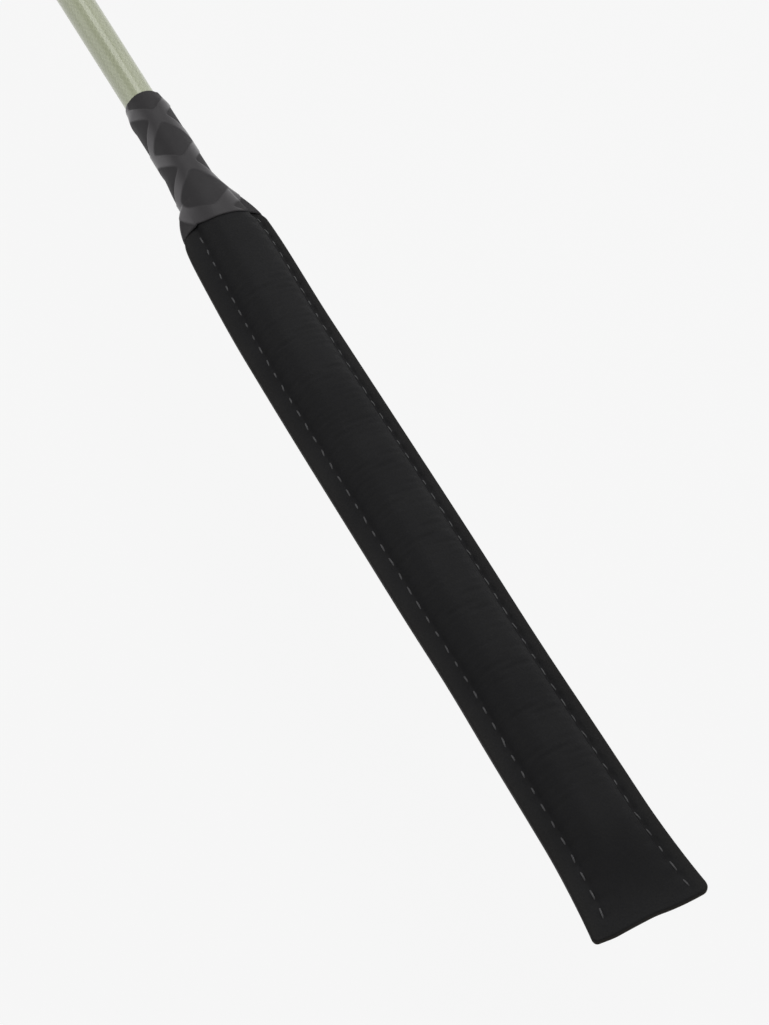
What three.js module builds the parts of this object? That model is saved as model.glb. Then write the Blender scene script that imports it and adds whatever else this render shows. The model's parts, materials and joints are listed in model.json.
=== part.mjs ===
// Padded riding crop: a moulded handle, a braided glass-fibre shaft, a shrink sleeve over the neck and
// a flat cushioned flap. Millimetres. The shaft's axis is X, from the butt at x = 0 to the end of the
// flap; the flap lies in the XY plane and its front face looks up, along +Z.
import * as THREE from "three";

// Driving dimensions
const CLEARANCE = 0.3; // between solids that touch on the real crop
const CAP_LENGTH = 20;
const GRIP_LENGTH = 180;
const COLLAR_LENGTH = 9;
const SHAFT_BARE_LENGTH = 168; // from the front collar to the neck sleeve
const SLEEVE_LENGTH = 51.5;
const FLAP_LENGTH = 220.9; // outside the neck sleeve
const CAP_RADIUS = 14.5;
const SHAFT_RADIUS_BUTT = 5.6; // over the braid
const SHAFT_RADIUS_NECK = 4.5;
const BRAID_THICKNESS = 0.6;
const SLEEVE_RADIUS = 6.05;
const SLEEVE_WALL = 0.7;
const FLAP_HALF_WIDTH = 12.2;
const FLAP_FLARE = 1.6; // added to the half width at the end
const FLAP_CROWN = 5.2; // half the thickness of the pad
const COVER_THICKNESS = 0.85;
const WELT_WIDTH = 4.2; // from the stitching to the cut edge
const THREAD_RADIUS = 0.28;
const ROUND_SEGMENTS = 32;

// Places along the shaft
const REAR_COLLAR_START = CAP_LENGTH + CLEARANCE;
const REAR_COLLAR_LENGTH = 3;
const GRIP_START = REAR_COLLAR_START + REAR_COLLAR_LENGTH + CLEARANCE;
const GRIP_END = GRIP_START + GRIP_LENGTH;
const COLLAR_START = GRIP_END + CLEARANCE;
const COLLAR_END = COLLAR_START + COLLAR_LENGTH;
const SLEEVE_START = COLLAR_END + SHAFT_BARE_LENGTH;
const SLEEVE_END = SLEEVE_START + SLEEVE_LENGTH;
const FLAP_END = SLEEVE_END + FLAP_LENGTH;
const PIVOT = SLEEVE_START + 21; // where the flap bends on the shaft
const CORE_START = 7.6;
const BRAID_START = 9;
const BRAID_END = PIVOT - 4;
const TAIL_START = PIVOT + 3; // the covers' tails, bound round the flap's core
const FLAP_CORE_END = FLAP_END - 26;

const { smoothstep, lerp } = THREE.MathUtils;

const LOOKS = {
  glass_fibre: { color: 0xc9c6a8, roughness: 0.45, metalness: 0 },
  braid: { color: 0x96997f, roughness: 0.4, metalness: 0 },
  grip_rubber: { color: 0x242325, roughness: 0.75, metalness: 0 },
  cap_plastic: { color: 0x1d1d1e, roughness: 0.45, metalness: 0 },
  former_foam: { color: 0x6f6f6a, roughness: 0.9, metalness: 0 },
  collar_metal: { color: 0x3a3a3c, roughness: 0.35, metalness: 0.9 },
  disc_metal: { color: 0x9a9d84, roughness: 0.3, metalness: 0.9 },
  steel: { color: 0xa9a9ab, roughness: 0.35, metalness: 1 },
  spigot_nylon: { color: 0xd8d4c6, roughness: 0.5, metalness: 0 },
  sleeve_rubber: { color: 0x353234, roughness: 0.5, metalness: 0 },
  binding_thread: { color: 0x1c1c1d, roughness: 0.8, metalness: 0 },
  cover_leather: { color: 0x222224, roughness: 0.8, metalness: 0 },
  pad_foam: { color: 0x2f2f30, roughness: 0.95, metalness: 0 },
  stitch_thread: { color: 0x3c3c3e, roughness: 0.7, metalness: 0 },
  tip_rubber: { color: 0x202020, roughness: 0.8, metalness: 0 },
};
const materials = Object.fromEntries(
  Object.entries(LOOKS).map(([name, look]) => [name, new THREE.MeshStandardMaterial({ name, ...look })]),
);

const crop = new THREE.Group();
const shaft = new THREE.Group();
const flap = new THREE.Group();
shaft.name = "shaft";
flap.name = "flap";
crop.add(shaft, flap);

function add(body, name, look, geometry) {
  const mesh = new THREE.Mesh(geometry, materials[look]);
  mesh.name = name;
  body.add(mesh);
}

// A solid turned round the X axis. The profile is a list of [x, radius] that runs from butt to tip along
// the outside; a solid one starts and ends on the axis, and a ring comes back along its bore.
function turned(profile, segments = ROUND_SEGMENTS) {
  const closed = profile[0][1] > 0 ? [...profile, profile[0]] : profile;
  const points = closed.map(([x, radius]) => new THREE.Vector2(radius, x));
  return new THREE.LatheGeometry(points, segments).rotateZ(-Math.PI / 2);
}

// A tube round the X axis whose outer and inner radius are functions of x.
function turnedTube(start, end, steps, outer, inner) {
  const places = Array.from({ length: steps + 1 }, (_, i) => lerp(start, end, i / steps));
  const outside = places.map((x) => [x, outer(x)]);
  const bore = [...places].reverse().map((x) => [x, inner(x)]);
  return turned([...outside, ...bore]);
}

// Moves every vertex of a geometry by a function that changes the vector it is given.
function warp(geometry, move) {
  const position = geometry.getAttribute("position");
  const point = new THREE.Vector3();
  for (let i = 0; i < position.count; i++) {
    point.fromBufferAttribute(position, i);
    move(point);
    position.setXYZ(i, point.x, point.y, point.z);
  }
  return geometry;
}

// A sheet of varying thickness: a finely divided box, whose run, width and two faces are functions.
// across(x, v) gives y for v from -1 to 1, and top(x, y) and bottom(x, y) give the height of each face.
// The steps along it are closest together near its two ends.
function sheet({ start, end, steps, acrossSteps, across, top, bottom, endShape = () => 0 }) {
  return warp(new THREE.BoxGeometry(1, 2, 1, steps, acrossSteps, 1), (p) => {
    const even = p.x + 0.5;
    const share = even - 0.1 * Math.sin(2 * Math.PI * even);
    const x = lerp(start, end, share);
    const y = across(x, p.y);
    const z = p.z > 0 ? top(x, y) : bottom(x, y);
    p.set(x - endShape(x, y) * smoothstep(share, 0.85, 1), y, z);
  });
}

// Shaft

// Radius of the shaft over its braid, which tapers from the butt to the neck.
function shaftRadius(x) {
  return lerp(SHAFT_RADIUS_BUTT, SHAFT_RADIUS_NECK, (x - BRAID_START) / (BRAID_END - BRAID_START));
}

const PILOT_RADIUS = 2; // bore for the cap's screw
const PILOT_END = 25;
const SPIGOT_RADIUS = 1.2;
const SPIGOT_BORE = SPIGOT_RADIUS + CLEARANCE;
const SPIGOT_REACH = 15; // into each core
const CORE_GAP = 0.5; // each core stops this far short of the pivot

function shaftCore() {
  const radius = (x) => shaftRadius(x) - BRAID_THICKNESS - CLEARANCE;
  const end = PIVOT - CORE_GAP;
  const boreEnd = PIVOT - SPIGOT_REACH - CLEARANCE;
  return turned([
    [PILOT_END, 0],
    [PILOT_END, PILOT_RADIUS],
    [CORE_START, PILOT_RADIUS],
    [CORE_START, radius(CORE_START)],
    [end, radius(end)],
    [end, SPIGOT_BORE],
    [boreEnd, SPIGOT_BORE],
    [boreEnd, 0],
  ]);
}

function spigot() {
  return turned(
    [
      [PIVOT - SPIGOT_REACH, 0],
      [PIVOT - SPIGOT_REACH, SPIGOT_RADIUS],
      [PIVOT + SPIGOT_REACH, SPIGOT_RADIUS],
      [PIVOT + SPIGOT_REACH, 0],
    ],
    16,
  );
}

// Handle

function buttCap() {
  const discRecess = 9.2;
  const screwRecess = 4.6;
  const screwHole = 2.1;
  const socket = SHAFT_RADIUS_BUTT + CLEARANCE;
  const neck = 10.4;
  const dome = Array.from({ length: 9 }, (_, i) => {
    const angle = lerp(-0.42 * Math.PI, 0.36 * Math.PI, i / 8);
    return [7.2 + 7 * Math.sin(angle), 7.5 + (CAP_RADIUS - 7.5) * Math.cos(angle)];
  });
  return turned([
    [0.4, discRecess],
    [0.4, 9.1 + 0.3],
    ...dome,
    [16, neck + 0.3],
    [CAP_LENGTH, neck],
    [CAP_LENGTH, socket],
    [CORE_START - CLEARANCE, socket],
    [CORE_START - CLEARANCE, screwHole],
    [4.9, screwHole],
    [4.9, screwRecess],
    [1.8, screwRecess],
    [1.8, discRecess],
  ]);
}

function capScrew() {
  const head = 3.5;
  const shank = 1.7;
  return turned(
    [
      [3, 0],
      [3, 1.4],
      [2.1, 1.4],
      [2.1, head - 0.6],
      [2.5, head],
      [3.6, head],
      [3.6, shank],
      [PILOT_END - 4, shank],
      [PILOT_END - 2, 0],
    ],
    20,
  );
}

// Grip radius along its length: flared at the butt, a palm swell, then a taper to the front.
function gripRadius(x) {
  const share = (x - GRIP_START) / GRIP_LENGTH;
  const flare = 1.1 * (1 - smoothstep(share, 0, 0.12));
  const palm = 0.7 * Math.sin(Math.PI * smoothstep(share, 0.1, 0.75));
  return lerp(9.3, 7.7, share) + flare + palm;
}

function formerRadius(x) {
  return lerp(7.4, 6.4, (x - GRIP_START) / GRIP_LENGTH);
}

// Turns of thread side by side: a ring with one ridge for each turn.
function whipping(start, turns, pitch, outer, inner) {
  const ridges = [];
  for (let i = 0; i < turns; i++) {
    const x = start + i * pitch;
    ridges.push([x, outer(x) - pitch / 3], [x + pitch / 2, outer(x)]);
  }
  const end = start + turns * pitch;
  ridges.push([end, outer(end) - pitch / 3], [end, inner(end)], [start, inner(start)]);
  return turned(ridges, 20);
}

// Flap

// Half the flap's width: gathered round at the neck, straight, then flared at the end.
function flapHalfWidth(x) {
  const gathered = lerp(TAIL_RADIUS, GATHERED_HALF_WIDTH, smoothstep(x, TAIL_ROUND_END - 1, SLEEVE_END));
  const opening = 1 - Math.exp(-Math.max(0, x - SLEEVE_END) / 5);
  const opened = (FLAP_HALF_WIDTH - GATHERED_HALF_WIDTH) * opening;
  const waist = 0.3 * Math.exp(-(((x - (FLAP_END - 72)) / 24) ** 2));
  const flare = FLAP_FLARE * Math.max(0, (x - FLAP_END) / FLARE_LENGTH + 1) ** 2;
  return gathered + opened - waist + flare;
}

const TAIL_RADIUS = 4.4;
const GATHERED_HALF_WIDTH = 9.75; // inside the sleeve's end
const FLARE_LENGTH = 26;
const TAIL_ROUND_END = TAIL_START + 8;
const SEAM_GAP = CLEARANCE / 2; // each cover stays this far from the flap's middle plane
const WELT_TOP = SEAM_GAP + COVER_THICKNESS;
const ROUND_POWER = 2; // of the bound tail, which is round
const CROWN_POWER = 2.5; // of the pad, which has fuller shoulders

function weltWidth(x) {
  return WELT_WIDTH * smoothstep(x, TAIL_ROUND_END, SLEEVE_END + 6);
}

function crownHalfWidth(x) {
  return flapHalfWidth(x) - weltWidth(x);
}

// Height of the pad's outside above the middle plane, at the middle of the flap.
function crownHeight(x) {
  const neck = lerp(TAIL_RADIUS, FLAP_CROWN, smoothstep(x, TAIL_ROUND_END, SLEEVE_END + 4));
  return lerp(neck, WELT_TOP, smoothstep(x, FLAP_END - 30, FLAP_END - 1));
}

// A rounded hump across the flap, from height 1 at its middle to 0 at its half width.
function hump(x, y, halfWidth) {
  const power = lerp(ROUND_POWER, CROWN_POWER, smoothstep(x, TAIL_ROUND_END, SLEEVE_END));
  const share = Math.min(1, Math.abs(y) / halfWidth);
  return (1 - share ** power) ** (1 / power);
}

function coverOutside(x, y) {
  const edge = lerp(2 * SEAM_GAP, WELT_TOP, smoothstep(x, TAIL_ROUND_END, SLEEVE_END));
  return edge + (crownHeight(x) - edge) * hump(x, y, crownHalfWidth(x));
}

function coverInside(x, y) {
  const height = Math.max(0, crownHeight(x) - WELT_TOP);
  return SEAM_GAP + height * hump(x, y, crownHalfWidth(x) - COVER_THICKNESS * 0.9);
}

// Places across the flap: three steps in each welt, and steps over the crown that close up at its foot.
const WELT_STEPS = 3;
const CROWN_STEPS = 12;
const ACROSS_STEPS = 2 * WELT_STEPS + CROWN_STEPS;
function acrossFlap(x, v) {
  const step = Math.round(Math.abs(v) * (ACROSS_STEPS / 2));
  const crown = crownHalfWidth(x);
  const half = CROWN_STEPS / 2;
  const y =
    step <= half
      ? crown * Math.sin((Math.PI / 2) * (step / half))
      : lerp(crown, flapHalfWidth(x), (step - half) / WELT_STEPS);
  return Math.sign(v) * y;
}

// How far the flap's end is cut back from a straight line: a shallow hollow and rounded corners.
function endCut(x, y) {
  const half = flapHalfWidth(FLAP_END);
  const cornerRadius = 2;
  const hollow = 0.45 * (1 - (y / half) ** 2);
  const past = Math.max(0, Math.abs(y) - (half - cornerRadius));
  return hollow + cornerRadius - Math.sqrt(Math.max(0, cornerRadius ** 2 - past ** 2));
}

function cover() {
  return sheet({
    start: TAIL_START,
    end: FLAP_END,
    steps: 36,
    acrossSteps: ACROSS_STEPS,
    across: acrossFlap,
    top: coverOutside,
    bottom: coverInside,
    endShape: endCut,
  });
}

function flapCoreRadius(x) {
  return lerp(2.6, 1.3, (x - PIVOT) / (FLAP_CORE_END - PIVOT));
}

function flapCore() {
  const start = PIVOT + CORE_GAP;
  const boreEnd = PIVOT + SPIGOT_REACH + CLEARANCE;
  return turned(
    [
      [boreEnd, 0],
      [boreEnd, SPIGOT_BORE],
      [start, SPIGOT_BORE],
      [start, flapCoreRadius(start)],
      [FLAP_CORE_END, flapCoreRadius(FLAP_CORE_END)],
      [FLAP_CORE_END, 0],
    ],
    24,
  );
}

const TIP_CAP_RADIUS = 2.15;

function coreTipCap() {
  const bore = flapCoreRadius(FLAP_CORE_END) + CLEARANCE + 0.05;
  const outer = TIP_CAP_RADIUS;
  return turned(
    [
      [FLAP_CORE_END - 9, bore],
      [FLAP_CORE_END - 9, outer],
      [FLAP_CORE_END, outer],
      [FLAP_CORE_END + 1.5, outer * 0.8],
      [FLAP_CORE_END + 2.2, 0],
      [FLAP_CORE_END + CLEARANCE, 0],
      [FLAP_CORE_END + CLEARANCE, bore],
    ],
    24,
  );
}

// One half of the pad: foam under a cover, with a half-round groove that beds the flap's core.
function foamPad() {
  const groove = (x) => Math.max(flapCoreRadius(x), TIP_CAP_RADIUS) + CLEARANCE + 0.05;
  const end = FLAP_END - 18;
  const grooveDepth = (x) => 1 - smoothstep(x, FLAP_CORE_END + 3, end);
  const halfWidth = (x) => crownHalfWidth(x) - COVER_THICKNESS - 1.1;
  const innerSteps = 3;
  const outerSteps = 4;
  const acrossSteps = 2 * (innerSteps + outerSteps);
  return sheet({
    start: SLEEVE_END - 4,
    end,
    steps: 16,
    acrossSteps,
    across: (x, v) => {
      const step = Math.round((Math.abs(v) * acrossSteps) / 2);
      const y =
        step <= innerSteps
          ? groove(x) * Math.sin((Math.PI / 2) * (step / innerSteps))
          : lerp(groove(x), halfWidth(x), Math.sin((Math.PI / 2) * ((step - innerSteps) / outerSteps)));
      return Math.sign(v) * y;
    },
    top: (x, y) => coverInside(x, y) - CLEARANCE - 0.15,
    bottom: (x, y) => SEAM_GAP + Math.sqrt(Math.max(0, groove(x) ** 2 - y ** 2)) * grooveDepth(x),
  });
}

const STITCH_START = SLEEVE_END + 1.5;
const STITCH_END = FLAP_END - 4;

// The seam's thread, which lies at the foot of the pad on one side of the flap.
class SeamLine extends THREE.Curve {
  constructor(side) {
    super();
    this.side = side;
  }
  getPoint(t, target = new THREE.Vector3()) {
    const x = lerp(STITCH_START, STITCH_END, t);
    const offset = THREAD_RADIUS + CLEARANCE + 0.15;
    return target.set(x, this.side * (crownHalfWidth(x) + offset), WELT_TOP + THREAD_RADIUS + CLEARANCE);
  }
}

function seamThread(side) {
  const section = new THREE.Shape().absarc(0, 0, THREAD_RADIUS, 0, 2 * Math.PI, false);
  return new THREE.ExtrudeGeometry(section, {
    curveSegments: 6,
    steps: 40,
    bevelEnabled: false,
    extrudePath: new SeamLine(side),
  });
}

// Neck sleeve

// How far the sleeve's inside stands off the axis: width and height of an oval that becomes the flap.
function sleeveInside(x) {
  const rim = smoothstep(x, SLEEVE_START, SLEEVE_START + 6);
  const round = lerp(SHAFT_RADIUS_NECK + CLEARANCE, SLEEVE_RADIUS - SLEEVE_WALL, rim);
  const clear = CLEARANCE + 0.15;
  return {
    width: Math.max(round, flapHalfWidth(Math.max(x, TAIL_START)) + clear),
    height: Math.max(round, crownHeight(Math.max(x, TAIL_START)) + clear),
  };
}

// The sleeve's section goes from a circle to an oval, and its end is cut a little askew. It starts as
// a tube one unit long, with its bore at radius 1 and its outside at radius 2.
function neckSleeve() {
  const skew = 2.7;
  return warp(turnedTube(0, 1, 18, () => 2, () => 1), (p) => {
    const angle = Math.atan2(p.z, p.y);
    const outer = Math.hypot(p.y, p.z) > 1.5;
    const x = lerp(SLEEVE_START, SLEEVE_END + skew * Math.cos(angle), p.x);
    const inside = sleeveInside(x);
    const wall = outer ? SLEEVE_WALL * lerp(0.6, 1, smoothstep(x, SLEEVE_START, SLEEVE_START + 3)) : 0;
    const power = lerp(1, 0.86, smoothstep(x, TAIL_ROUND_END, SLEEVE_END));
    const [across, up] = [Math.cos(angle), Math.sin(angle)];
    p.set(
      x,
      (inside.width + wall) * Math.sign(across) * Math.abs(across) ** power,
      (inside.height + wall) * Math.sign(up) * Math.abs(up) ** power,
    );
  });
}

// Assembly

add(shaft, "shaft_core", "glass_fibre", shaftCore());
add(
  shaft,
  "shaft_braid",
  "braid",
  turnedTube(BRAID_START, BRAID_END, 1, shaftRadius, (x) => shaftRadius(x) - BRAID_THICKNESS),
);
add(shaft, "core_spigot", "spigot_nylon", spigot());
add(shaft, "butt_cap", "cap_plastic", buttCap());
add(
  shaft,
  "cap_disc",
  "disc_metal",
  turned([
    [0, 0],
    [0, 8.4],
    [0.5, 8.9],
    [1.5, 8.9],
    [1.5, 0],
  ]),
);
add(shaft, "cap_screw", "steel", capScrew());
add(shaft, "cap_washer", "steel", turnedTube(3.9, 4.6, 1, () => 4.2, () => 2));
add(
  shaft,
  "rear_collar",
  "collar_metal",
  turned([
    [REAR_COLLAR_START, 10.3],
    [REAR_COLLAR_START + 0.5, 10.8],
    [REAR_COLLAR_START + REAR_COLLAR_LENGTH - 0.5, 10.8],
    [REAR_COLLAR_START + REAR_COLLAR_LENGTH, 10.3],
    [REAR_COLLAR_START + REAR_COLLAR_LENGTH, SHAFT_RADIUS_BUTT + CLEARANCE],
    [REAR_COLLAR_START, SHAFT_RADIUS_BUTT + CLEARANCE],
  ]),
);
add(
  shaft,
  "grip_former",
  "former_foam",
  turnedTube(GRIP_START, GRIP_END, 1, formerRadius, (x) => shaftRadius(x) + CLEARANCE),
);
add(
  shaft,
  "grip",
  "grip_rubber",
  turnedTube(GRIP_START, GRIP_END, 18, gripRadius, (x) => formerRadius(x) + CLEARANCE),
);
add(
  shaft,
  "front_collar",
  "collar_metal",
  turned([
    [COLLAR_START, 7.8],
    [COLLAR_START + 0.4, 8.1],
    [COLLAR_START + 2.6, 8.1],
    [COLLAR_START + 3, 7.7],
    [COLLAR_END - 0.5, 6.2],
    [COLLAR_END, 5.8],
    [COLLAR_END, shaftRadius(COLLAR_START) + CLEARANCE],
    [COLLAR_START, shaftRadius(COLLAR_START) + CLEARANCE],
  ]),
);
add(
  shaft,
  "shaft_whipping",
  "binding_thread",
  whipping(SLEEVE_START + 3, 14, 0.9, () => 5.0, (x) => shaftRadius(x) + 0.2),
);
add(shaft, "neck_sleeve", "sleeve_rubber", neckSleeve());

add(flap, "flap_core", "glass_fibre", flapCore());
add(flap, "core_tip_cap", "tip_rubber", coreTipCap());
add(
  flap,
  "tail_whipping",
  "binding_thread",
  whipping(TAIL_START + 1, 7, 0.8, () => 5.2, () => TAIL_RADIUS + CLEARANCE),
);

const faces = [
  { face: "front", turn: 0 },
  { face: "back", turn: Math.PI },
];
for (const { face, turn } of faces) {
  add(flap, `cover_${face}`, "cover_leather", cover().rotateX(turn));
  add(flap, `foam_${face}`, "pad_foam", foamPad().rotateX(turn));
  for (const [side, sign] of [["left", 1], ["right", -1]]) {
    const geometry = seamThread(face === "front" ? sign : -sign).rotateX(turn);
    add(flap, `seam_thread_${face}_${side}`, "stitch_thread", geometry);
  }
}

export default crop;
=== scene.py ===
import json
import math

import bmesh
import bpy
import numpy as np
from mathutils import Matrix, Vector


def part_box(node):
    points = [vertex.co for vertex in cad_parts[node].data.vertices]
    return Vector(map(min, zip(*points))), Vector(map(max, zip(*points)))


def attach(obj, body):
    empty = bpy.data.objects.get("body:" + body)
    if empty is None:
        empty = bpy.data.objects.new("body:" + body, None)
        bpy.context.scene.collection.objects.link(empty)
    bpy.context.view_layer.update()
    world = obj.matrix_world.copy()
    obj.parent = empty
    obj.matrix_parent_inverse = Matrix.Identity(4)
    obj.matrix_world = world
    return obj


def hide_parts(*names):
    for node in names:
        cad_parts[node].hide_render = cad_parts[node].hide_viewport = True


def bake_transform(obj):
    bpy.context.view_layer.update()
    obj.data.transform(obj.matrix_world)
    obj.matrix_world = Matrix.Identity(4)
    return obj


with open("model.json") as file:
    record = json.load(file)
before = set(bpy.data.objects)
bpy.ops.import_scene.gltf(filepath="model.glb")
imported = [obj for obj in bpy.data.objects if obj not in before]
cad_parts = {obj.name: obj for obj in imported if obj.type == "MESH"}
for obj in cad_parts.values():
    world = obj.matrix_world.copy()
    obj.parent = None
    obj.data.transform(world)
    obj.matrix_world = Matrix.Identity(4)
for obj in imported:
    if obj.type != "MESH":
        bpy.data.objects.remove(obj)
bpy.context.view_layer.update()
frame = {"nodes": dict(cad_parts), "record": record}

MM = 0.001


# ---------------------------------------------------------------- places, from the frame

def start_of(node):
    """Where a CAD node starts along the X axis."""
    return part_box(node)[0].x


def end_of(node):
    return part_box(node)[1].x


def radius_of(node):
    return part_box(node)[1].y


JOINT = frame["record"]["behaviour"]["joints"][0]
PIVOT = JOINT["pos_m"][0]
SLEEVE_START = start_of("neck_sleeve")
SLEEVE_SKEW = 2.7 * MM  # the CAD's sleeve is cut askew by this much to each side of its middle
SLEEVE_END = end_of("neck_sleeve") - SLEEVE_SKEW
FLAP_END = end_of("cover_front")
FLAP_START = SLEEVE_END
TAIL_START = start_of("cover_front")
END_HALF_WIDTH = radius_of("cover_front")
FLAP_FLARE = 1.6 * MM  # added to the half width at the end
FLARE_LENGTH = 26 * MM
FLAP_HALF_WIDTH = END_HALF_WIDTH - FLAP_FLARE
FLAP_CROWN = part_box("cover_front")[1].z
BINDING_HEIGHT = 0.5 * MM  # of the thread binding over the shaft
NECK_RADIUS = radius_of("shaft_whipping") - BINDING_HEIGHT
BUTT_RADIUS = radius_of("shaft_braid")
SLEEVE_WALL = 0.7 * MM
SLEEVE_RADIUS = NECK_RADIUS + 1.55 * MM  # over the thread binding


# ---------------------------------------------------------------- small helpers

def smoothstep(x, low, high):
    """0 up to low and 1 from high on, with a soft rise between them."""
    share = np.clip((np.asarray(x, float) - low) / (high - low), 0, 1)
    return share * share * (3 - 2 * share)


def mix(a, b, share):
    return a + (b - a) * share


def bump(x, centre, width):
    """1 at centre, falling to 0 at about twice width away."""
    return np.exp(-(((x - centre) / width) ** 2))


def quarter_round(inward, radius, drop):
    """How far a surface falls near its edge: by drop at the edge, and not at all past radius inward."""
    share = np.clip(inward / radius, 0, 1)
    return drop * (1 - np.sqrt(1 - (1 - share) ** 2))


def make_piece(name, vertices, faces, attributes=None, sharp=35):
    """A smooth mesh object with outward faces and one float attribute for each name in attributes."""
    mesh = bpy.data.meshes.new(name)
    mesh.from_pydata([tuple(v) for v in vertices], [], faces)
    build = bmesh.new()
    build.from_mesh(mesh)
    bmesh.ops.recalc_face_normals(build, faces=build.faces)
    build.to_mesh(mesh)
    build.free()
    mesh.polygons.foreach_set("use_smooth", [True] * len(mesh.polygons))
    mesh.set_sharp_from_angle(angle=math.radians(sharp))
    for key, values in (attributes or {}).items():
        layer = mesh.attributes.new(key, "FLOAT", "POINT")
        layer.data.foreach_set("value", np.ravel(values).astype(np.float32))
    piece = bpy.data.objects.new(name, mesh)
    bpy.context.scene.collection.objects.link(piece)
    return piece


def grid_faces(rows, columns, wrap_rows=False, wrap_columns=False, first=0):
    """Quads over a grid of vertices that are numbered row by row."""
    faces = []
    for i in range(rows if wrap_rows else rows - 1):
        for j in range(columns if wrap_columns else columns - 1):
            ahead, across = (i + 1) % rows, (j + 1) % columns
            corners = ((i, j), (i, across), (ahead, across), (ahead, j))
            faces.append([first + r * columns + c for r, c in corners])
    return faces


def capped_faces(rings, around, first=0):
    """Faces over rings of vertices, with a flat face at the first and at the last ring."""
    faces = grid_faces(rings, around, wrap_columns=True, first=first)
    for start in (first, first + (rings - 1) * around):
        faces.append([start + j for j in range(around)])
    return faces


def ring_solid(name, points, attributes=None, sharp=35):
    """A solid from rings of points [ring][point] that closes on itself both ways, as a tube does."""
    rings, around = points.shape[:2]
    faces = grid_faces(rings, around, wrap_rows=True, wrap_columns=True)
    return make_piece(name, points.reshape(-1, 3), faces, attributes, sharp)


def capped_solid(name, points, sharp=35):
    """A solid from rings of points that is closed by a flat face at its first and its last ring."""
    return make_piece(name, points.reshape(-1, 3), capped_faces(*points.shape[:2]), sharp=sharp)


def slab(name, top, bottom, attributes=None, sharp=35):
    """A solid between two sheets of points [row][column] that meet along all four sides."""
    rows, columns = top.shape[:2]
    count = rows * columns
    faces = grid_faces(rows, columns) + grid_faces(rows, columns, first=count)
    rim = [(i, 0) for i in range(rows)] + [(rows - 1, j) for j in range(1, columns)]
    rim += [(i, columns - 1) for i in range(rows - 2, -1, -1)]
    rim += [(0, j) for j in range(columns - 2, 0, -1)]
    ids = [i * columns + j for i, j in rim]
    for a, b in zip(ids, ids[1:] + ids[:1]):
        faces.append([a, b, b + count, a + count])
    vertices = np.concatenate([top.reshape(-1, 3), bottom.reshape(-1, 3)])
    return make_piece(name, vertices, faces, attributes, sharp)


def around_axis(x, radius, angle):
    """Points [ring][point] round the X axis."""
    return np.stack([x, radius * np.cos(angle), radius * np.sin(angle)], -1)


def revolve(profile, around=96):
    """Rings of points round the X axis from a list of [x, radius] in metres."""
    angle = np.linspace(0, 2 * np.pi, around, endpoint=False)
    x, radius = np.array(profile, float).T[:, :, None]
    return around_axis(np.repeat(x, around, 1), radius, angle)


def rounded(corners):
    """A profile with a curve at each [x, radius, fillet] and a sharp corner at each [x, radius]."""
    points, steps = [], 5
    for i, corner in enumerate(corners):
        here = np.array(corner[:2])
        if len(corner) == 2:
            points.append(here)
            continue
        before = np.array(corners[i - 1][:2]) - here
        after = np.array(corners[(i + 1) % len(corners)][:2]) - here
        start = here + before / np.linalg.norm(before) * corner[2]
        end = here + after / np.linalg.norm(after) * corner[2]
        for t in np.linspace(0, 1, steps):
            points.append((1 - t) ** 2 * start + 2 * t * (1 - t) * here + t**2 * end)
    return np.array(points)


# ---------------------------------------------------------------- materials

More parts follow.
